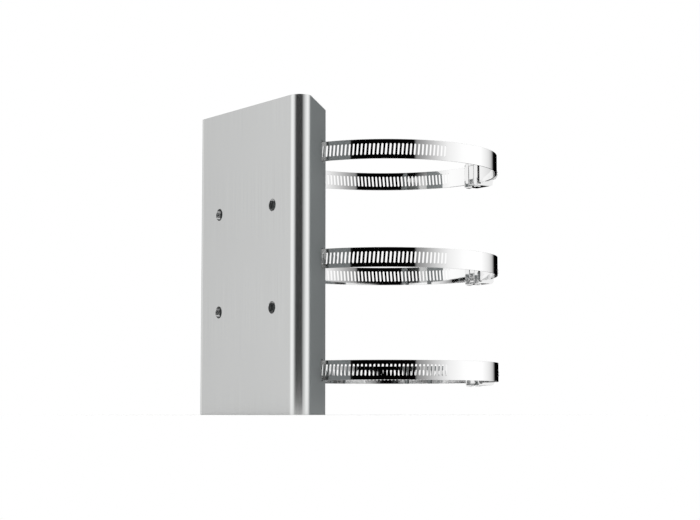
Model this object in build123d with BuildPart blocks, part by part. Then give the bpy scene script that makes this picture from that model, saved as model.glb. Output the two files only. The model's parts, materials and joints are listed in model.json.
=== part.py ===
"""Pole mount adapter: a folded plate and three worm-drive band clamps.

Millimetres. The origin is the middle of the four device holes, on the front face. +X is to
the right as seen from the device, +Y runs back to the pole and +Z is up the pole.
"""

import math
import os

from build123d import *

# Mount plate: one folded sheet with a front face and two flanges
plate_height = 200.0
plate_width = 121.0
plate_sheet = 3.0
bend_inside_radius = 4.0
bend_turn = 135.0
flange_flat = 51.0

# Device holes in the front face
hole_diameter = 8.0
hole_pitch_x = 65.0
hole_pitch_z = 65.0

# Band loops: places up the plate, strip section and loop size
bottom_clamp_margin = 28.7
middle_clamp_height = 0.9
top_clamp_margin = 29.0
band_width = 12.7
band_sheet = 0.65
loop_radius = 77.1
band_inset = 9.0
layer_gap = 0.1

# How far the clamps are turned about the pole
clamp_turn = -1.7

# Band slots through the flanges
slot_rear_clearance = 0.3
slot_front_clearance = 5.0
slot_end_clearance = 0.65

# Band ends, as reaches along the loop from the middle of the worm housing
tongue_reach = 23.5
tail_reach = 31.0
tail_corner = 4.0
lap_start_reach = 44.0
lap_bend_radius = 40.0

# Perforation of the band, which is the rack that the worm drives
perforation_length = 7.5
perforation_width = 1.3
perforation_pitch = 2.68
perforation_first_reach = 126.6
perforation_tail_margin = 6.0
perforations_per_flat = 2

# Worm screw. Its thread, of this depth, is fine work for the scene: the solid is the core
worm_crest_radius = 5.0
thread_depth = 1.0
worm_band_clearance = 0.1
screw_running_clearance = 0.08
screw_end_play = 0.1
collar_radius = 5.0
collar_thickness = 1.2
hex_across_flats = 8.0
hex_length = 7.4
hex_chamfer = 0.6
screwdriver_slot_width = 1.2
screwdriver_slot_depth = 1.6

# Worm housing, a stamped cap over the worm
housing_length = 15.0
housing_wall = 1.2
housing_corner_radius = 3.0
housing_band_clearance = 0.3
housing_side_clearance = 0.5

# Saddle under the band, with tabs that clasp the housing
saddle_sheet = 0.8
saddle_gap = 0.05
saddle_side_clearance = 0.1
tab_width = 3.4
tab_spacing = 9.6
tab_clearance = 0.1
tab_rise = 3.4
tab_bend_radius = 0.8

# Plate outline, from its outside surfaces
bend_outside_radius = bend_inside_radius + plate_sheet
fold_half_width = (plate_width / 2 - bend_outside_radius
                   + bend_outside_radius * math.tan(math.radians(bend_turn / 2)))
fold_to_rear = bend_outside_radius * math.tan(math.radians(bend_turn / 2)) + flange_flat
flange_run = Vector(math.cos(math.radians(bend_turn)), math.sin(math.radians(bend_turn)))
flange_normal = Vector(flange_run.Y, -flange_run.X)
rear_edge = Vector(fold_half_width, 0) + flange_run * fold_to_rear
clamp_heights = {
    "bottom": -plate_height / 2 + bottom_clamp_margin,
    "middle": middle_clamp_height,
    "top": plate_height / 2 - top_clamp_margin,
}

# Band loop: it enters each flange band_inset in from the flange's rear edge
entry = rear_edge - flange_run * band_inset
loop_center_y = entry.Y + math.sqrt(loop_radius**2 - entry.X**2)
inner_layer = loop_radius - band_sheet / 2
outer_layer = inner_layer + band_sheet + layer_gap
band_top = loop_center_y + outer_layer + band_sheet / 2


def reach_angle(reach):
    """Polar angle of a point on the loop, from its reach past the housing towards +X."""
    return 90 - math.degrees(reach / inner_layer)


def on_loop(radius, angle):
    """Point on a circle about the loop's axis."""
    return Vector(0, loop_center_y) + Vector(radius, 0).rotate(Axis.Z, angle)


# Lap: the slotted end leaves the loop on a tangent and bends back on to the outer layer
lap_start_angle = reach_angle(-lap_start_reach)
lap_rise = outer_layer - inner_layer
lap_straight = math.sqrt(lap_rise * (outer_layer + inner_layer - 2 * lap_bend_radius))
lap_bend_angle = math.degrees(math.atan2(lap_straight, inner_layer - lap_bend_radius))
lap_heading = Vector(0, -1).rotate(Axis.Z, lap_start_angle)
lap_bend_center = on_loop(inner_layer - lap_bend_radius, lap_start_angle) + lap_heading * lap_straight


# Mount plate
with BuildPart() as mount_plate:
    with BuildSketch(Plane.XY.offset(-plate_height / 2)):
        with BuildLine():
            FilletPolyline(
                (-rear_edge.X, rear_edge.Y),
                (-fold_half_width, 0),
                (fold_half_width, 0),
                (rear_edge.X, rear_edge.Y),
                radius=bend_outside_radius,
            )
            offset(amount=plate_sheet, side=Side.LEFT)
        make_face()
    extrude(amount=plate_height)
    with Locations(Plane.XZ):
        with GridLocations(hole_pitch_x, hole_pitch_z, 2, 2):
            Hole(hole_diameter / 2, depth=plate_sheet)

    # The slot's ends, measured along the flange from its rear edge: the band's inside face
    # leaves the sheet closest to that edge
    to_inside_edge = rear_edge - flange_normal * plate_sheet - Vector(0, loop_center_y)
    band_exit = to_inside_edge.dot(flange_run) + math.sqrt(
        (loop_radius - band_sheet) ** 2 - to_inside_edge.dot(flange_normal) ** 2
    )
    slot_rear = band_exit - slot_rear_clearance
    slot_front = band_inset + slot_front_clearance
    slot_middle = rear_edge - flange_run * (slot_rear + slot_front) / 2
    flange_face = Plane(origin=slot_middle, x_dir=flange_run, z_dir=flange_normal)
    with BuildSketch(flange_face):
        with Locations(*[(0, height) for height in clamp_heights.values()]):
            Rectangle(slot_front - slot_rear, band_width + 2 * slot_end_clearance)
    cut = extrude(amount=-plate_sheet, mode=Mode.PRIVATE)
    add(cut, mode=Mode.SUBTRACT)
    add(mirror(cut, about=Plane.YZ, mode=Mode.PRIVATE), mode=Mode.SUBTRACT)

mount_plate.part.label = "mount_plate"

# Band: its middle line, wound once round and lapped over its own smooth tongue
tongue_angle = reach_angle(-tongue_reach)
tail_angle = reach_angle(tail_reach)
lap_end_angle = lap_start_angle - lap_bend_angle
with BuildLine() as band_path:
    loop = CenterArc(
        (0, loop_center_y), inner_layer, tongue_angle, lap_start_angle - 360 - tongue_angle
    )
    straight = Line(loop @ 1, loop @ 1 + lap_heading * lap_straight)
    CenterArc(lap_bend_center, lap_bend_radius, lap_start_angle, -lap_bend_angle)
    CenterArc((0, loop_center_y), outer_layer, lap_end_angle, tail_angle - lap_end_angle)
path_length = band_path.wire().length
tail_length = outer_layer * math.radians(90 - tail_angle)
under_worm = path_length - tail_length

# The perforated stretch bends at every second web, so that each flat carries two perforations.
# A perforation lies under the middle of the worm, and the bends are counted from the web before it
web_at_worm = under_worm - perforation_pitch / 2
flat_length = perforations_per_flat * perforation_pitch
flats_before = int((web_at_worm - tongue_reach - perforation_first_reach) / flat_length)
flats_after = int((path_length - perforation_tail_margin - web_at_worm) / flat_length)
bends = [web_at_worm + count * flat_length for count in range(-flats_before, flats_after + 1)]
first_bend_angle = tongue_angle - math.degrees(bends[0] / inner_layer)
last_bend_angle = 90 - math.degrees((bends[-1] - under_worm) / outer_layer)
thread_lead_angle = math.degrees(
    math.atan(perforation_pitch / (2 * math.pi * worm_crest_radius))
)


def along_strip(distance, side):
    """Point at a distance along the strip, offset sideways from its middle line."""
    middle = band_path.wire().position_at(distance, position_mode=PositionMode.LENGTH)
    heading = band_path.wire().tangent_at(distance, position_mode=PositionMode.LENGTH)
    return middle + heading.rotate(Axis.Z, 90) * side


def strip_face(side):
    """One face of the strip seen from above: smooth tongue, perforated flats and tail end."""
    tongue = CenterArc(
        (0, loop_center_y), inner_layer + side, tongue_angle, first_bend_angle - tongue_angle
    )
    tail = CenterArc(
        (0, loop_center_y), outer_layer + side, last_bend_angle, tail_angle - last_bend_angle
    )
    Polyline(tongue @ 1, *[along_strip(distance, side) for distance in bends[1:-1]], tail @ 0)
    return tongue @ 0, tail @ 1


def flat_perforations(start, end):
    """Where the perforations of one flat lie, turned to the thread's lead."""
    heading = (end - start).normalized()
    places = []
    for count in range(perforations_per_flat):
        share = (count + 0.5) / perforations_per_flat
        flat = Plane(
            origin=start + (end - start) * share, x_dir=-heading, z_dir=heading.rotate(Axis.Z, 90)
        )
        places.append(flat.location * Rot(0, 0, -thread_lead_angle))
    return places


with BuildPart() as band:
    with BuildSketch(Plane.XY.offset(-band_width / 2)):
        with BuildLine():
            outside_ends = strip_face(band_sheet / 2)
            inside_ends = strip_face(-band_sheet / 2)
            for outside_end, inside_end in zip(outside_ends, inside_ends):
                Line(outside_end, inside_end)
        make_face()
    extrude(amount=band_width)
    tail_tip = on_loop(outer_layer, tail_angle)
    tail_edges = band.edges().filter_by(Plane.XY).sort_by_distance(tail_tip).filter_by(GeomType.LINE)
    fillet(tail_edges[:2], tail_corner)

    # The cutters end inside the gap between the two layers of the lap
    bend_points = [along_strip(distance, 0) for distance in bends]
    perforations = [
        place
        for start, end in zip(bend_points, bend_points[1:])
        for place in flat_perforations(start, end)
    ]
    with Locations(*perforations):
        Box(
            perforation_width,
            perforation_length,
            band_sheet + layer_gap / 2,
            mode=Mode.SUBTRACT,
        )

# Worm housing: a stamped cap, open below, that closes at both ends
screw_y = band_top + worm_band_clearance + worm_crest_radius
crown_outside = screw_y + worm_crest_radius + screw_running_clearance + housing_wall
leg_inside = band_width / 2 + housing_side_clearance
leg_outside = leg_inside + housing_wall
end_wall_foot = band_top + housing_band_clearance
worm_core_radius = worm_crest_radius - thread_depth
saddle_outside_radius = inner_layer - band_sheet / 2 - saddle_gap
saddle_inside_radius = saddle_outside_radius - saddle_sheet
foot_y = loop_center_y + math.sqrt(saddle_inside_radius**2 - (housing_length / 2) ** 2)
tab_far_side = (tab_spacing + tab_width) / 2
tab_y = loop_center_y + math.sqrt(saddle_inside_radius**2 - tab_far_side**2)
across_screw = Plane(origin=(0, 0, 0), x_dir=(0, 1, 0), z_dir=(1, 0, 0))


def cap_outline(inset):
    """The cap's outline seen along the screw, closed across its foot and moved inwards."""
    half_width = leg_outside - inset
    crown = crown_outside - inset
    FilletPolyline(
        (foot_y, -half_width),
        (crown, -half_width),
        (crown, half_width),
        (foot_y, half_width),
        radius=housing_corner_radius - inset,
    )
    Line((foot_y, -half_width), (foot_y, half_width))


with BuildPart() as housing:
    with BuildSketch(across_screw.offset(-housing_length / 2)):
        with BuildLine():
            cap_outline(0)
        make_face()
    extrude(amount=housing_length)

    # The worm's chamber, the way for the band under the end walls, and the screw's bearing
    with BuildSketch(across_screw.offset(-housing_length / 2 + housing_wall)):
        with BuildLine():
            cap_outline(housing_wall)
        make_face()
    extrude(amount=housing_length - 2 * housing_wall, mode=Mode.SUBTRACT)
    with Locations((0, (foot_y + end_wall_foot) / 2, 0)):
        Box(housing_length, end_wall_foot - foot_y, 2 * leg_inside, mode=Mode.SUBTRACT)
    with BuildSketch(across_screw.offset(housing_length / 2 - housing_wall)):
        with Locations((screw_y, 0)):
            Circle(worm_core_radius + screw_running_clearance)
    extrude(amount=housing_wall, mode=Mode.SUBTRACT)

    # Notches for the saddle's tabs
    with Locations((0, (foot_y + tab_y + saddle_sheet + tab_clearance) / 2, 0)):
        with GridLocations(tab_spacing, 0, 2, 1):
            Box(
                tab_width + 2 * tab_clearance,
                tab_y + saddle_sheet + tab_clearance - foot_y,
                2 * leg_outside,
                mode=Mode.SUBTRACT,
            )

# Saddle: a curved plate under the band, with two tabs each side folded up round the housing
saddle_half_width = leg_inside - saddle_side_clearance
tab_inside = leg_outside + tab_clearance
tab_outside = tab_inside + saddle_sheet
saddle_half_angle = math.degrees(math.asin(housing_length / 2 / saddle_inside_radius))

with BuildPart() as saddle:
    with BuildSketch(Plane.XY.offset(-saddle_half_width)):
        with BuildLine():
            arcs = [
                CenterArc(
                    (0, loop_center_y), radius, 90 - saddle_half_angle, 2 * saddle_half_angle
                )
                for radius in (saddle_inside_radius, saddle_outside_radius)
            ]
            Line(arcs[0] @ 0, arcs[1] @ 0)
            Line(arcs[0] @ 1, arcs[1] @ 1)
        make_face()
    extrude(amount=2 * saddle_half_width)
    for tab_x in (-tab_spacing / 2, tab_spacing / 2):
        with BuildSketch(across_screw.offset(tab_x - tab_width / 2)):
            with BuildLine():
                FilletPolyline(
                    (tab_y + tab_rise, -tab_outside),
                    (tab_y, -tab_outside),
                    (tab_y, tab_outside),
                    (tab_y + tab_rise, tab_outside),
                    radius=tab_bend_radius,
                )
                Polyline(
                    (tab_y + tab_rise, -tab_outside),
                    (tab_y + tab_rise, -tab_inside),
                    (tab_y + saddle_sheet, -tab_inside),
                    (tab_y + saddle_sheet, tab_inside),
                    (tab_y + tab_rise, tab_inside),
                    (tab_y + tab_rise, tab_outside),
                )
            make_face()
        extrude(amount=tab_width)

# Worm screw: the worm's core runs out through the housing's bearing to a collar and a hex head
worm_start = -housing_length / 2 + housing_wall + screw_end_play
neck_end = housing_length / 2 + screw_end_play
head_end = neck_end + collar_thickness + hex_length

with BuildPart() as screw:
    with BuildSketch(across_screw.offset(worm_start)):
        with Locations((screw_y, 0)):
            Circle(worm_core_radius)
    extrude(amount=neck_end - worm_start)
    with BuildSketch(across_screw.offset(neck_end)):
        with Locations((screw_y, 0)):
            Circle(collar_radius)
    extrude(amount=collar_thickness)
    with BuildSketch(across_screw.offset(neck_end + collar_thickness)):
        with Locations((screw_y, 0)):
            RegularPolygon(hex_across_flats / 2, 6, major_radius=False)
    extrude(amount=hex_length)
    chamfer(screw.faces().sort_by(Axis.X)[-1].edges(), hex_chamfer)
    with Locations((head_end - screwdriver_slot_depth / 2, screw_y, 0)):
        Box(
            screwdriver_slot_depth,
            2 * hex_across_flats,
            screwdriver_slot_width,
            mode=Mode.SUBTRACT,
        )

# Each clamp is the same four pieces at its own height, turned about the pole
os.makedirs("parts", exist_ok=True)
export_step(mount_plate.part, "parts/mount_plate.step")
clamp_pieces = {"band": band, "housing": housing, "saddle": saddle, "screw": screw}
for level, height in clamp_heights.items():
    for piece_name, piece in clamp_pieces.items():
        with BuildPart() as placed:
            with Locations(Pos(0, loop_center_y, height) * Rot(0, 0, clamp_turn)):
                with Locations((0, -loop_center_y, 0)):
                    add(piece.part)
        placed.part.label = f"clamp_{piece_name}_{level}"
        export_step(placed.part, f"parts/{placed.part.label}.step")
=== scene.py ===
"""Looks of a pole mount adapter in a white studio.

The folded plate is satin steel, and the three perforated band clamps are bright steel. Sizes are
in metres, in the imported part's frame: +X to the right as seen from the device, +Y back to the
pole, +Z up the pole.
"""

import json
import math

import bpy
from mathutils import Matrix, Vector

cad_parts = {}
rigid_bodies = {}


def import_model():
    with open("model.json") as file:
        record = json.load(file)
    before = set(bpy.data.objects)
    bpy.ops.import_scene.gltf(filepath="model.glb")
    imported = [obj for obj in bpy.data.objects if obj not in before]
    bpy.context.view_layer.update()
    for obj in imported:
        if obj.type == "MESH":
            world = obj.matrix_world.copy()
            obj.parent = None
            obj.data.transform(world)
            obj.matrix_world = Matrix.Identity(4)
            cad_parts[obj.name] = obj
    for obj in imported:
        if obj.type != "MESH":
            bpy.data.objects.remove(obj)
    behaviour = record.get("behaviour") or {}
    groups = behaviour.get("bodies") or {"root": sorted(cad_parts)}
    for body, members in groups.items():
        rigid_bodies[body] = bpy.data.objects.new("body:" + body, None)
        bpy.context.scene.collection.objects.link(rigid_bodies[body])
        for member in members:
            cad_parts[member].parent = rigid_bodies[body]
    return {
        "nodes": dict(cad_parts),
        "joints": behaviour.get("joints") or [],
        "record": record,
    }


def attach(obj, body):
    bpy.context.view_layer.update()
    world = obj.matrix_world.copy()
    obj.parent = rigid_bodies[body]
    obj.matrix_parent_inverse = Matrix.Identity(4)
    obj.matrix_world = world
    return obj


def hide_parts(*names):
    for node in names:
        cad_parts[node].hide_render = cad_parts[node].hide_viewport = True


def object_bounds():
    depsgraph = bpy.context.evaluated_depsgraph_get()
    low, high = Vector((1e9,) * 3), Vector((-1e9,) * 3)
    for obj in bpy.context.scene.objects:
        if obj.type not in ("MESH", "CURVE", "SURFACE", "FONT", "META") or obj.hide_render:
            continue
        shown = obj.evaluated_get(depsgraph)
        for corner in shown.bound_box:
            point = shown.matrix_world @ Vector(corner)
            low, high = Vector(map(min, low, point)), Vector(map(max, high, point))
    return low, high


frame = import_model()
cad_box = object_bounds()
nodes = frame["nodes"]

# Camera, from the fit to the photograph
CAMERA_PLACE = (0.90832, -0.56242, -0.09858)
CAMERA_AIM = (-0.8114, 0.5771, 0.0920)
CAMERA_LENS = 85.0
CAMERA_SENSOR = 36.0
CAMERA_CLIP = (0.01, 50)

# What the metal mirrors, by compass heading in degrees from +X, and how bright it is: white walls
# with one black card behind the camera and one behind the object
STUDIO_LEVELS = (
    (-180, 0.75),
    (-160, 0.95),
    (-112, 1.05),
    (-98, 0.9),
    (-84, 0.3),
    (-72, 0.04),
    (-70, 0.001),
    (-6.6, 0.001),
    (-5.2, 0.26),
    (4, 0.4),
    (12, 0.57),
    (21, 0.75),
    (30, 0.92),
    (48, 1.06),
    (76, 1.1),
    (90, 0.9),
    (96, 0.79),
    (103, 0.55),
    (110, 0.001),
    (155, 0.001),
    (172, 0.6),
    (180, 0.75),
)

# The floor is a pale disc that looks a little brighter to the camera than it is lit
FLOOR_RADIUS = 0.34
FLOOR_SIDES = 96
FLOOR_GREY = 0.93
FLOOR_GLOW = 0.1

# Where most of the noise's values lie, and the detail of a soft and of a plain noise
NOISE_RANGE = (0.3, 0.7)
SOFT_DETAIL = 2.0
PLAIN_DETAIL = 3.0

# An edge is found by how far the softened normal turns from the true one, as a cosine
EDGE_COSINES = (1.0, 0.8)
EDGE_SAMPLES = 6

# The plate's regions, each blended in between two places: its flanges by depth, its bends by
# distance from the middle, and the painted shade, darker to the left, from left to right
FLANGE_DEPTHS = (0.0083, 0.0108)
BEND_DISTANCES = (0.053, 0.0545)
PAINTED_SHADE_PLACES = (-0.055, 0.045)

# The plate's steel. Noise is given in cells per metre along X, Y and Z
FRONT_COLORS = ((0.55, 0.556, 0.553, 1), (0.585, 0.59, 0.587, 1))
# Painted shade: the flanges' dark grey stands in for the shade they fall in
FLANGE_PAINTED_SHADE = (0.23, 0.249, 0.251, 1)
# Painted highlight: the bends' pale grey stands in for the light they catch
BEND_PAINTED_HIGHLIGHT = (0.8, 0.81, 0.805, 1)
WORN_COLOR = (0.82, 0.82, 0.82, 1)
WORN_SHARE = 0.5
PLATE_GRAIN = (2600, 2600, 14)
PLATE_CLOUD = (14, 14, 9)
PLATE_EDGE_RADIUS = 0.0004
STREAK_LEVELS = (0.96, 1.04)
# Painted shade: the plate's colour is scaled down towards the left
PAINTED_SHADE_LEVELS = (0.93, 1.0)
PLATE_ROUGHNESS = (0.14, 0.19)
FLANGE_ROUGHNESS = 0.24
WORN_ROUGHNESS = -0.04
PLATE_METALLIC = 0.9
FLANGE_METALLIC = -0.6
BEND_METALLIC = 0.04
PLATE_RELIEF = 0.06
PLATE_RELIEF_DEPTH = 0.00002

# The bands' steel
BAND_LINES = (8, 8, 5200)
BAND_SMEARS = (60, 60, 90)
BAND_GREYS = (0.92, 0.95)
BAND_ROUGHNESS = (0.02, 0.05)
SMEAR_RANGE = (0.55, 0.8)
SMEAR_ROUGHNESS = (0.0, 0.02)
BAND_RELIEF = 0.01
BAND_RELIEF_DEPTH = 0.000005

# The steels of the stamped housings and saddles, dull where they are sheared, and of the turned
# screws, brighter and smoother on their corners
CLAMP_LOOK = {
    "marks": (900, 160, 900),
    "edge_radius": 0.0004,
    "greys": (0.88, 0.95),
    "roughness": (0.03, 0.06),
    "edge_roughness": 0.5,
    "relief": 0.02,
}
SCREW_LOOK = {
    "marks": (5200, 60, 60),
    "edge_radius": 0.0002,
    "greys": (0.66, 0.88),
    "roughness": (0.18, 0.3),
    "edge_roughness": -0.08,
    "relief": 0.1,
}
MARK_DEPTH = 0.00001

# Band clamps, with the sizes of the part
BAND_WIDTH = 0.0127
BAND_SHEET = 0.00065
LOOP_RADIUS = 0.0771
LAYER_GAP = 0.0001
TONGUE_REACH = 0.0235
TAIL_REACH = 0.031
TAIL_CORNER = 0.004
LAP_START_REACH = 0.044
LAP_BEND_RADIUS = 0.040
PERFORATION_LENGTH = 0.0075
PERFORATION_WIDTH = 0.0013
PERFORATION_PITCH = 0.00268
PERFORATION_FIRST_REACH = 0.1266
PERFORATION_TAIL_MARGIN = 0.006
PERFORATIONS_PER_FLAT = 2
WORM_CREST_RADIUS = 0.005
WORM_CORE_RADIUS = 0.004
WORM_BAND_CLEARANCE = 0.0001
WORM_LENGTH = 0.0124

# Beyond the part: one perforation more than its flats hold, as the photograph shows, and a round
# strip that lies a little further in, so that it stays within the part's flats
EXTRA_PERFORATIONS = 1
STRIP_INSET = 0.00002

# Finer than the part: rounded strip edges, the tongue's corners and the thread's section
STRIP_EDGE = 0.00008
TONGUE_CORNER = 0.0006
PLAIN_STEP = 0.00134
ARC_STEPS = 6
THREAD_CREST = 0.0008
THREAD_FLANK = math.radians(20)
THREAD_SINK = 0.00005
THREAD_STEPS = 40
THREAD_FADE = 0.2

# The saddles' cut edges are rounded by just under half the sheet, once split corners are joined
SADDLE_EDGE = 0.00039
SADDLE_EDGE_STEPS = 5
SADDLE_EDGE_ANGLE = math.radians(50)
WELD_REACH = 0.000002

# Points of a skin that fall in the same cell are one point
CELLS_PER_METRE = 1e7

# The outer and the inner face of the strip, or its upper and its lower half
SIDES = (1, -1)


class Graph:
    """Short calls to fill a node tree. An input takes a value or another node's output."""

    def __init__(self, owner):
        owner.use_nodes = True
        self.tree = owner.node_tree
        self.tree.nodes.clear()

    def add(self, kind, inputs=None, **settings):
        node = self.tree.nodes.new(kind)
        for name, value in settings.items():
            setattr(node, name, value)
        for name, value in (inputs or {}).items():
            if isinstance(value, bpy.types.NodeSocket):
                self.tree.links.new(value, node.inputs[name])
            else:
                node.inputs[name].default_value = value
        return node

    def math(self, operation, a, b=0.0):
        return self.add("ShaderNodeMath", {0: a, 1: b}, operation=operation).outputs[0]

    def plus(self, a, b):
        return self.math("ADD", a, b)

    def times(self, a, b):
        return self.math("MULTIPLY", a, b)

    def span(self, value, source, target=(0.0, 1.0)):
        """The value moved from one range to another, and held at its ends."""
        inputs = {"Value": value, "From Min": source[0], "From Max": source[1]}
        inputs.update({"To Min": target[0], "To Max": target[1]})
        return self.add("ShaderNodeMapRange", inputs).outputs["Result"]

    def blend(self, share, a, b):
        """A colour between two colours, whose sockets share their names with other types'."""
        first, second, result = 6, 7, 2
        node = self.add("ShaderNodeMix", {0: share, first: a, second: b}, data_type="RGBA")
        return node.outputs[result]

    def place(self):
        """The point's place in the part's frame, in metres."""
        return self.add("ShaderNodeTexCoord").outputs["Object"]

    def noise(self, cells, detail=PLAIN_DETAIL):
        """Noise with its own number of cells per metre along each axis."""
        moved = self.add("ShaderNodeMapping", {"Vector": self.place(), "Scale": cells})
        inputs = {"Vector": moved.outputs[0], "Scale": 1.0, "Detail": detail}
        return self.add("ShaderNodeTexNoise", inputs).outputs["Fac"]

    def edges(self, radius):
        """A softened normal, and how near the point is to an edge."""
        bevel = self.add("ShaderNodeBevel", {"Radius": radius}, samples=EDGE_SAMPLES)
        soft = bevel.outputs["Normal"]
        true = self.add("ShaderNodeNewGeometry").outputs["Normal"]
        same = self.add("ShaderNodeVectorMath", {0: soft, 1: true}, operation="DOT_PRODUCT")
        return soft, self.span(same.outputs["Value"], EDGE_COSINES)

    def bump(self, height, strength, depth, normal=None):
        inputs = {"Strength": strength, "Distance": depth, "Height": height}
        if normal is not None:
            inputs["Normal"] = normal
        return self.add("ShaderNodeBump", inputs).outputs[0]

    def metal(self, color, roughness, normal, metallic=1.0):
        """The material's shader and output."""
        inputs = {"Base Color": color, "Metallic": metallic}
        inputs.update({"Roughness": roughness, "Normal": normal})
        shader = self.add("ShaderNodeBsdfPrincipled", inputs)
        self.add("ShaderNodeOutputMaterial", {"Surface": shader.outputs[0]})


def grey(level):
    return (level, level, level, 1)


def studio_world():
    """White for the camera and for plain light, with dark stretches that metal mirrors."""
    world = bpy.data.worlds.new("studio")
    bpy.context.scene.world = world
    graph = Graph(world)
    world.cycles.sampling_method = "NONE"
    sky = graph.add("ShaderNodeTexCoord").outputs["Generated"]
    split = graph.add("ShaderNodeSeparateXYZ", {0: sky})
    heading = graph.math("ARCTAN2", split.outputs["Y"], split.outputs["X"])
    ramp = graph.add("ShaderNodeValToRGB", {"Fac": graph.span(heading, (-math.pi, math.pi))})
    stops = ramp.color_ramp.elements
    brightest = max(level for _, level in STUDIO_LEVELS)
    while len(stops) < len(STUDIO_LEVELS):
        stops.new(0.5)
    for stop, (degrees, level) in zip(stops, STUDIO_LEVELS):
        stop.position = (degrees + 180) / 360
        stop.color = grey(level / brightest)
    cards = graph.add(
        "ShaderNodeBackground", {"Color": ramp.outputs["Color"], "Strength": brightest}
    )
    plain = graph.add("ShaderNodeBackground", {"Color": grey(1), "Strength": 1.0})
    mirrored = graph.add("ShaderNodeLightPath").outputs["Is Glossy Ray"]
    mix = graph.add(
        "ShaderNodeMixShader", {0: mirrored, 1: plain.outputs[0], 2: cards.outputs[0]}
    )
    graph.add("ShaderNodeOutputWorld", {"Surface": mix.outputs[0]})


def plate_steel():
    """Satin sheet, brushed up and down, with painted highlights on its bends and painted shade on
    its flanges, which are also rougher and less metallic.
    """
    material = bpy.data.materials.new("plate_steel")
    graph = Graph(material)
    split = graph.add("ShaderNodeSeparateXYZ", {0: graph.place()})
    across = split.outputs["X"]
    flange = graph.span(split.outputs["Y"], FLANGE_DEPTHS)
    turned = graph.span(graph.math("ABSOLUTE", across), BEND_DISTANCES)
    bend = graph.times(turned, graph.math("SUBTRACT", 1.0, flange))
    grain = graph.noise(PLATE_GRAIN)
    cloud = graph.noise(PLATE_CLOUD, SOFT_DETAIL)
    soft, edge = graph.edges(PLATE_EDGE_RADIUS)

    sheet = graph.blend(cloud, *FRONT_COLORS)
    # Painted shade: the flanges take a dark grey
    sheet = graph.blend(flange, sheet, FLANGE_PAINTED_SHADE)
    # Painted highlight: the bends take a pale grey
    sheet = graph.blend(bend, sheet, BEND_PAINTED_HIGHLIGHT)
    sheet = graph.blend(graph.times(edge, WORN_SHARE), sheet, WORN_COLOR)
    streak = graph.span(grain, NOISE_RANGE, STREAK_LEVELS)
    # Painted shade, darker towards the left
    painted_shade = graph.span(across, PAINTED_SHADE_PLACES, PAINTED_SHADE_LEVELS)
    color = graph.add(
        "ShaderNodeVectorMath", {0: sheet, "Scale": graph.times(streak, painted_shade)}, operation="SCALE"
    )

    dull = graph.plus(graph.times(flange, FLANGE_ROUGHNESS), graph.times(edge, WORN_ROUGHNESS))
    roughness = graph.plus(graph.span(grain, NOISE_RANGE, PLATE_ROUGHNESS), dull)
    change = graph.plus(graph.times(flange, FLANGE_METALLIC), graph.times(bend, BEND_METALLIC))
    normal = graph.bump(grain, PLATE_RELIEF, PLATE_RELIEF_DEPTH, soft)
    graph.metal(color.outputs[0], roughness, normal, graph.plus(change, PLATE_METALLIC))
    return material


def band_steel():
    """Bright rolled strip, with fine lines along it and faint smears."""
    material = bpy.data.materials.new("band_steel")
    graph = Graph(material)
    lines = graph.noise(BAND_LINES)
    smear = graph.noise(BAND_SMEARS, SOFT_DETAIL)
    color = graph.blend(lines, *map(grey, BAND_GREYS))
    roughness = graph.plus(
        graph.span(lines, NOISE_RANGE, BAND_ROUGHNESS),
        graph.span(smear, SMEAR_RANGE, SMEAR_ROUGHNESS),
    )
    graph.metal(color, roughness, graph.bump(lines, BAND_RELIEF, BAND_RELIEF_DEPTH))
    return material


def marked_steel(name, marks, edge_radius, greys, roughness, edge_roughness, relief):
    """Steel with the marks of its making all over, and its own colour and gloss on its edges."""
    material = bpy.data.materials.new(name)
    graph = Graph(material)
    drawn = graph.noise(marks)
    soft, edge = graph.edges(edge_radius)
    color = graph.blend(edge, *map(grey, greys))
    rough = graph.plus(graph.span(drawn, NOISE_RANGE, roughness), graph.times(edge, edge_roughness))
    graph.metal(color, rough, graph.bump(drawn, relief, MARK_DEPTH, soft))
    return material


def dress(piece, material):
    piece.data.materials.clear()
    piece.data.materials.append(material)


def soften(piece):
    """Rounds the cut edges of a stamped sheet."""
    weld = piece.modifiers.new("weld", "WELD")
    weld.merge_threshold = WELD_REACH
    rounding = piece.modifiers.new("rounding", "BEVEL")
    rounding.width = SADDLE_EDGE
    rounding.segments = SADDLE_EDGE_STEPS
    rounding.limit_method = "ANGLE"
    rounding.angle_limit = SADDLE_EDGE_ANGLE


class Skin:
    """A surface made of faces with the exact normal at every corner."""

    def __init__(self):
        self.index = {}
        self.points = []
        self.faces = []
        self.normals = []

    def vertex(self, point):
        key = tuple(round(value * CELLS_PER_METRE) for value in point)
        if key not in self.index:
            self.index[key] = len(self.points)
            self.points.append(point)
        return self.index[key]

    def face(self, *corners):
        """A face from pairs of point and normal, turned so that it looks along its normals."""
        points = [point for point, _ in corners]
        facing = Vector()
        for start, end in zip(points, points[1:] + points[:1]):
            facing += (start - points[0]).cross(end - points[0])
        if facing.dot(sum((normal for _, normal in corners), Vector())) < 0:
            corners = corners[::-1]
        self.faces.append([self.vertex(point) for point, _ in corners])
        self.normals.extend(normal for _, normal in corners)

    def piece(self, name, place):
        """An object with this surface, moved and turned to a place."""
        mesh = bpy.data.meshes.new(name)
        mesh.from_pydata([place @ point for point in self.points], [], self.faces)
        mesh.polygons.foreach_set("use_smooth", [True] * len(self.faces))
        turn = place.to_3x3()
        mesh.normals_split_custom_set([(turn @ normal).normalized() for normal in self.normals])
        piece = bpy.data.objects.new(name, mesh)
        bpy.context.scene.collection.objects.link(piece)
        return piece


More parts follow.
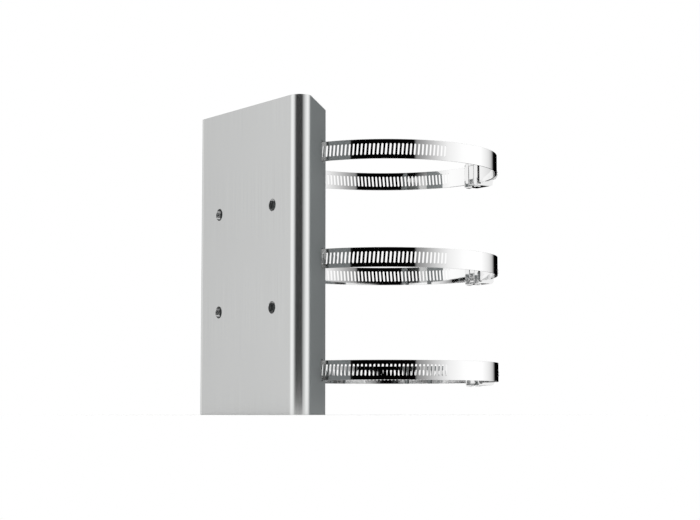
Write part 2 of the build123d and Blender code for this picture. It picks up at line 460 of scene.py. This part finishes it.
# The strip's middle line, seen from above about the loop's own centre, as in the part
INNER_LAYER = LOOP_RADIUS - BAND_SHEET / 2
OUTER_LAYER = INNER_LAYER + BAND_SHEET + LAYER_GAP
SCREW_REACH = OUTER_LAYER + BAND_SHEET / 2 + WORM_BAND_CLEARANCE + WORM_CREST_RADIUS
WORM_ANGLE = math.pi / 2
TONGUE_ANGLE = WORM_ANGLE + TONGUE_REACH / INNER_LAYER
LAP_START_ANGLE = WORM_ANGLE + LAP_START_REACH / INNER_LAYER
LOOP_LENGTH = INNER_LAYER * (TONGUE_ANGLE + 2 * math.pi - LAP_START_ANGLE)
LAP_RISE = OUTER_LAYER - INNER_LAYER
LAP_STRAIGHT = math.sqrt(LAP_RISE * (OUTER_LAYER + INNER_LAYER - 2 * LAP_BEND_RADIUS))
LAP_BEND_ANGLE = math.atan2(LAP_STRAIGHT, INNER_LAYER - LAP_BEND_RADIUS)
LAP_BEND_LENGTH = LAP_BEND_RADIUS * LAP_BEND_ANGLE
LAP_END_ANGLE = LAP_START_ANGLE - LAP_BEND_ANGLE
LAP_END = LOOP_LENGTH + LAP_STRAIGHT + LAP_BEND_LENGTH
UNDER_WORM = LAP_END + OUTER_LAYER * (LAP_END_ANGLE - WORM_ANGLE)
PATH_LENGTH = UNDER_WORM + OUTER_LAYER * TAIL_REACH / INNER_LAYER
THREAD_LEAD = math.atan(PERFORATION_PITCH / (2 * math.pi * WORM_CREST_RADIUS))


def unit(angle):
    """The level direction at an angle from +X."""
    return Vector((math.cos(angle), math.sin(angle), 0))


def strip_at(distance):
    """The middle line at a distance from the tongue's end, and the way out of the loop there.

    The way out stays radial over the lap, so that what the strip mirrors runs on without a kink.
    """
    if distance <= LOOP_LENGTH:
        out = unit(TONGUE_ANGLE - distance / INNER_LAYER)
        return out * INNER_LAYER, out
    distance -= LOOP_LENGTH
    start = unit(LAP_START_ANGLE)
    heading = unit(LAP_START_ANGLE - math.pi / 2)
    if distance <= LAP_STRAIGHT:
        point = start * INNER_LAYER + heading * distance
        return point, point.normalized()
    distance -= LAP_STRAIGHT
    if distance <= LAP_BEND_LENGTH:
        center = start * (INNER_LAYER - LAP_BEND_RADIUS) + heading * LAP_STRAIGHT
        point = center + unit(LAP_START_ANGLE - distance / LAP_BEND_RADIUS) * LAP_BEND_RADIUS
        return point, point.normalized()
    distance -= LAP_BEND_LENGTH
    out = unit(LAP_END_ANGLE - distance / OUTER_LAYER)
    return out * OUTER_LAYER, out


def strip_corner(along, up, side, way):
    """A corner on the strip. Its place and its normal are each given along, up and out of it."""
    middle, out = strip_at(along)
    heading = Vector((out.y, -out.x, 0))
    normal = heading * way[0] + Vector((0, 0, way[1])) + out * way[2]
    return middle + out * (side - STRIP_INSET) + Vector((0, 0, up)), normal


def face_corner(along, up, side):
    """A corner on the strip's outer face, for side 1, or its inner one, for side -1."""
    return strip_corner(along, up, side * BAND_SHEET / 2, (0, 0, side))


def rim_corners(station, side):
    """The two corners of the strip's rounded edge: on its face, and on the edge itself.

    A station is a point of the strip's outline, along and up, and the way out of the outline.
    """
    along, up, way_along, way_up = station
    on_face = face_corner(along - STRIP_EDGE * way_along, up - STRIP_EDGE * way_up, side)
    edge_side = side * (BAND_SHEET / 2 - STRIP_EDGE)
    return on_face, strip_corner(along, up, edge_side, (way_along, way_up, 0))


def rim(skin, first, last):
    """The strip's rounded edge between two stations of its outline."""
    for side in SIDES:
        face_first, edge_first = rim_corners(first, side)
        face_last, edge_last = rim_corners(last, side)
        skin.face(face_first, face_last, edge_last, edge_first)
    skin.face(
        rim_corners(first, 1)[1],
        rim_corners(last, 1)[1],
        rim_corners(last, -1)[1],
        rim_corners(first, -1)[1],
    )


def below(station):
    """The same station on the strip's lower edge."""
    along, up, way_along, way_up = station
    return along, -up, way_along, -way_up


def plain_stretch(skin, stations):
    """The smooth strip between its upper edge, given by stations, and its lower one."""
    for first, last in zip(stations, stations[1:]):
        rim(skin, first, last)
        rim(skin, below(first), below(last))
        for side in SIDES:
            skin.face(
                rim_corners(first, side)[0],
                rim_corners(last, side)[0],
                rim_corners(below(last), side)[0],
                rim_corners(below(first), side)[0],
            )


def hole_wall(first, last):
    """The corners of a perforation's wall between two points of its outline."""
    corners = []
    for (along, up, way), side in ((first, 1), (last, 1), (last, -1), (first, -1)):
        corners.append(strip_corner(along, up, side * BAND_SHEET / 2, way))
    return corners


def perforated_pitch(skin, middle):
    """One pitch of the strip, with a perforation that has round ends and slants to the thread."""
    end_radius = PERFORATION_WIDTH / 2
    end_center = PERFORATION_LENGTH / 2 - end_radius
    lean, tilt = math.sin(THREAD_LEAD), math.cos(THREAD_LEAD)
    for half in SIDES:
        rings = []
        stations = []
        for step in range(ARC_STEPS + 1):
            angle = math.pi * (1 - step / ARC_STEPS)
            way_across, way_up = math.cos(angle), half * math.sin(angle)
            across = end_radius * way_across
            up = half * end_center + end_radius * way_up
            along = middle + across * tilt - up * lean
            height = across * lean + up * tilt
            way = (-way_across * tilt + way_up * lean, -way_across * lean - way_up * tilt, 0)
            rings.append((along, height, way))
            share = step / ARC_STEPS - 0.5
            stations.append((middle + share * PERFORATION_PITCH, half * BAND_WIDTH / 2, 0, half))
        for step in range(ARC_STEPS):
            rim(skin, stations[step], stations[step + 1])
            for side in SIDES:
                skin.face(
                    face_corner(*rings[step][:2], side),
                    face_corner(*rings[step + 1][:2], side),
                    rim_corners(stations[step + 1], side)[0],
                    rim_corners(stations[step], side)[0],
                )
            skin.face(*hole_wall(rings[step], rings[step + 1]))
        if half == 1:
            upper_rings, upper_stations = rings, stations
    for end in (0, -1):
        skin.face(*hole_wall(upper_rings[end], rings[end]))
        for side in SIDES:
            skin.face(
                face_corner(*upper_rings[end][:2], side),
                rim_corners(upper_stations[end], side)[0],
                rim_corners(stations[end], side)[0],
                face_corner(*rings[end][:2], side),
            )


def end_stations(tip, radius, direction):
    """A rounded end's upper corner, from the straight edge to the tip."""
    stations = []
    for step in range(ARC_STEPS + 1):
        angle = math.pi / 2 * step / ARC_STEPS
        along = tip - direction * radius * (1 - math.sin(angle))
        up = BAND_WIDTH / 2 - radius * (1 - math.cos(angle))
        stations.append((along, up, direction * math.sin(angle), math.cos(angle)))
    return stations


def straight_stations(start, end):
    """The strip's straight upper edge, in steps short enough to follow the loop."""
    count = max(1, round((end - start) / PLAIN_STEP))
    return [
        (start + (end - start) * step / count, BAND_WIDTH / 2, 0, 1) for step in range(count + 1)
    ]


def band_skin():
    """The whole strip: smooth tongue, perforated stretch and rounded tail."""
    skin = Skin()
    web_at_worm = UNDER_WORM - PERFORATION_PITCH / 2
    flat = PERFORATIONS_PER_FLAT * PERFORATION_PITCH
    before = int((web_at_worm - TONGUE_REACH - PERFORATION_FIRST_REACH) / flat)
    after = int((PATH_LENGTH - PERFORATION_TAIL_MARGIN - web_at_worm) / flat)
    count = PERFORATIONS_PER_FLAT * (before + after) + EXTRA_PERFORATIONS
    last_web = web_at_worm + after * flat
    first_web = last_web - count * PERFORATION_PITCH

    tongue_tip = end_stations(0.0, TONGUE_CORNER, -1)[::-1]
    plain_stretch(skin, tongue_tip[:-1] + straight_stations(TONGUE_CORNER, first_web))
    rim(skin, tongue_tip[0], below(tongue_tip[0]))
    for index in range(count):
        perforated_pitch(skin, first_web + (index + 0.5) * PERFORATION_PITCH)
    tail_tip = end_stations(PATH_LENGTH, TAIL_CORNER, 1)
    plain_stretch(skin, straight_stations(last_web, PATH_LENGTH - TAIL_CORNER) + tail_tip[1:])
    rim(skin, tail_tip[-1], below(tail_tip[-1]))
    return skin


def thread_skin():
    """The worm's thread: one ridge wound round the core, which rises and fades at its ends."""
    skin = Skin()
    root = WORM_CORE_RADIUS - THREAD_SINK
    flank = (WORM_CREST_RADIUS - root) * math.tan(THREAD_FLANK)
    root_half = THREAD_CREST / 2 + flank
    turns = (WORM_LENGTH - 2 * root_half) / PERFORATION_PITCH
    count = round(turns * THREAD_STEPS)
    sections = []
    for step in range(count + 1):
        turned = turns * step / count
        angle = 2 * math.pi * turned
        out = Vector((0, math.cos(angle), math.sin(angle)))
        along = Vector((PERFORATION_PITCH * (turned - turns / 2), 0, 0))
        rise = min(1.0, turned / THREAD_FADE, (turns - turned) / THREAD_FADE)
        crest = root + (WORM_CREST_RADIUS - root) * rise
        center = Vector((0, SCREW_REACH, 0)) + along
        section = []
        for side in (-1, 1):
            foot = center + Vector((side * root_half, 0, 0)) + out * root
            top = center + Vector((side * THREAD_CREST / 2, 0, 0)) + out * crest
            away = Vector((side, 0, 0)) * math.cos(THREAD_FLANK) + out * math.sin(THREAD_FLANK)
            section.append((foot, top, away))
        sections.append((section, out))
    for (first, first_out), (last, last_out) in zip(sections, sections[1:]):
        for (foot_a, top_a, way_a), (foot_b, top_b, way_b) in zip(first, last):
            skin.face((foot_a, way_a), (foot_b, way_b), (top_b, way_b), (top_a, way_a))
        for end, way in ((1, 1), (0, -1)):
            skin.face(
                (first[0][end], way * first_out),
                (last[0][end], way * last_out),
                (last[1][end], way * last_out),
                (first[1][end], way * first_out),
            )
    return skin


def clamp_frame(joint):
    """The loop's centre and turn for one clamp, from its screw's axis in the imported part."""
    axis = Vector(joint["axis"])
    turn = Matrix.Rotation(math.atan2(axis.y, axis.x), 4, "Z")
    center = Vector(joint["pos_m"]) - turn @ Vector((0, SCREW_REACH, 0))
    return Matrix.Translation(center) @ turn


def floor():
    bpy.ops.mesh.primitive_circle_add(vertices=FLOOR_SIDES, radius=FLOOR_RADIUS, fill_type="NGON")
    ground = bpy.context.object
    ground.name = "floor"
    ground.location = (0, 0, cad_box[0].z)
    material = bpy.data.materials.new("floor_white")
    graph = Graph(material)
    seen = graph.add("ShaderNodeLightPath").outputs["Is Camera Ray"]
    matte = graph.add("ShaderNodeBsdfDiffuse", {"Color": grey(FLOOR_GREY)})
    glow = graph.add(
        "ShaderNodeEmission", {"Color": grey(1), "Strength": graph.times(seen, FLOOR_GLOW)}
    )
    both = graph.add("ShaderNodeAddShader", {0: matte.outputs[0], 1: glow.outputs[0]})
    graph.add("ShaderNodeOutputMaterial", {"Surface": both.outputs[0]})
    ground.data.materials.append(material)


def camera():
    data = bpy.data.cameras.new("camera")
    data.lens = CAMERA_LENS
    data.sensor_width = CAMERA_SENSOR
    data.clip_start, data.clip_end = CAMERA_CLIP
    place = bpy.data.objects.new("camera", data)
    bpy.context.scene.collection.objects.link(place)
    place.location = CAMERA_PLACE
    place.rotation_mode = "QUATERNION"
    place.rotation_quaternion = Vector(CAMERA_AIM).to_track_quat("-Z", "Y")
    bpy.context.scene.camera = place


materials = {
    "plate_steel": plate_steel(),
    "band_steel": band_steel(),
    "clamp_steel": marked_steel("clamp_steel", **CLAMP_LOOK),
    "screw_steel": marked_steel("screw_steel", **SCREW_LOOK),
}
for subpart in frame["record"]["subparts"]:
    dress(nodes[subpart["node"]], materials[subpart["material_slot"]])
    if "saddle" in subpart["node"]:
        soften(nodes[subpart["node"]])

band = band_skin()
thread = thread_skin()
for joint in frame["joints"]:
    level = joint["name"].rsplit("_", 1)[1]
    place = clamp_frame(joint)
    strip = band.piece(f"band_{level}", place)
    dress(strip, materials["band_steel"])
    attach(strip, joint["parent"])
    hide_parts(f"clamp_band_{level}")
    ridge = thread.piece(f"worm_thread_{level}", place)
    dress(ridge, materials["screw_steel"])
    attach(ridge, joint["child"])

studio_world()
floor()
camera()
bpy.context.scene.view_settings.view_transform = "Standard"
